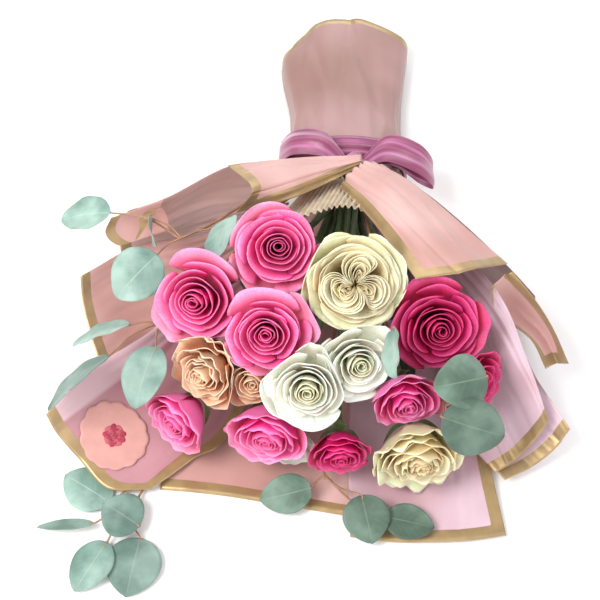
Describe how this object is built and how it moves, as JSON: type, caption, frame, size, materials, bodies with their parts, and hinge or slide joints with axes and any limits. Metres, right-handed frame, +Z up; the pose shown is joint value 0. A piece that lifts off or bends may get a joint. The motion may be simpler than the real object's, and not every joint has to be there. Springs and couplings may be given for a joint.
{
  "type": "wrapped rose bouquet",
  "caption": "Hand-tied bunch of mixed pink, cream and white roses with eucalyptus, lying down in gold-hemmed pink florist film, gathered at the waist with a satin bow.",
  "frame": {"origin": "on the surface the bouquet lies on, under the middle of its box", "axes": "+Y along the stems towards the cut ends, the flowers open towards -Y, +Z up out of the surface"},
  "size_m": [0.4504, 0.606, 0.1793],
  "materials": {
    "petals_pink": "soft velvety petals, hot pink in the heart and pale at the rims",
    "petals_magenta": "deep magenta velvety petals",
    "petals_cream": "cream petals with tan shadows",
    "petals_blush": "blush petals with peach backs",
    "petals_white": "off-white petals, greenish in the heart",
    "rose_stem": "green cut stems",
    "eucalyptus": "waxy grey-green leaves on thin tan stalks",
    "film": "frosted dusty pink wrapping film with a gold hem",
    "collar_paper": "cream corrugated paper",
    "ribbon": "satin ribbon",
    "tag_paper": "matt printed paper",
    "twine": "jute twine"
  },
  "bodies": {
    "root": {"back_sheet_centre": "film", "back_sheet_right": "film", "binding_twine": "twine", "fan_left_sheet": "film", "fold_left_flap": "film", "fold_right_flap": "film", "front_left_sheet": "film", "inner_collar": "collar_paper", "paper_tag": "tag_paper", "ribbon_band": "ribbon", "ribbon_knot": "ribbon", "ribbon_loop_left": "ribbon", "ribbon_loop_right": "ribbon", "roll_left_flap": "film", "roll_right_flap": "film", "rose_10_bloom": "petals_pink", "rose_10_stem": "rose_stem", "rose_11_bloom": "petals_cream", "rose_11_stem": "rose_stem", "rose_12_bloom": "petals_magenta", "rose_12_stem": "rose_stem", "rose_13_bloom": "petals_pink", "rose_13_stem": "rose_stem", "rose_14_bloom": "petals_magenta", "rose_14_stem": "rose_stem", "rose_15_bloom": "petals_blush", "rose_15_stem": "rose_stem", "rose_16_bloom": "petals_white", "rose_16_stem": "rose_stem", "rose_1_bloom": "petals_pink", "rose_1_stem": "rose_stem", "rose_2_bloom": "petals_cream", "rose_2_stem": "rose_stem", "rose_3_bloom": "petals_pink", "rose_3_stem": "rose_stem", "rose_4_bloom": "petals_pink", "rose_4_stem": "rose_stem", "rose_5_bloom": "petals_magenta", "rose_5_stem": "rose_stem", "rose_6_bloom": "petals_white", "rose_6_stem": "rose_stem", "rose_7_bloom": "petals_white", "rose_7_stem": "rose_stem", "rose_8_bloom": "petals_blush", "rose_8_stem": "rose_stem", "rose_9_bloom": "petals_pink", "rose_9_stem": "rose_stem", "side_right_inner_sheet": "film", "side_right_outer_sheet": "film", "sleeve_back": "film", "sleeve_front": "film", "sprig_front": "eucalyptus", "sprig_left_high": "eucalyptus", "sprig_left_low": "eucalyptus", "sprig_left_mid": "eucalyptus", "sprig_middle": "eucalyptus", "sprig_right": "eucalyptus", "wall_left_sheet": "film", "wall_right_sheet": "film"}
  },
  "joints": []
}
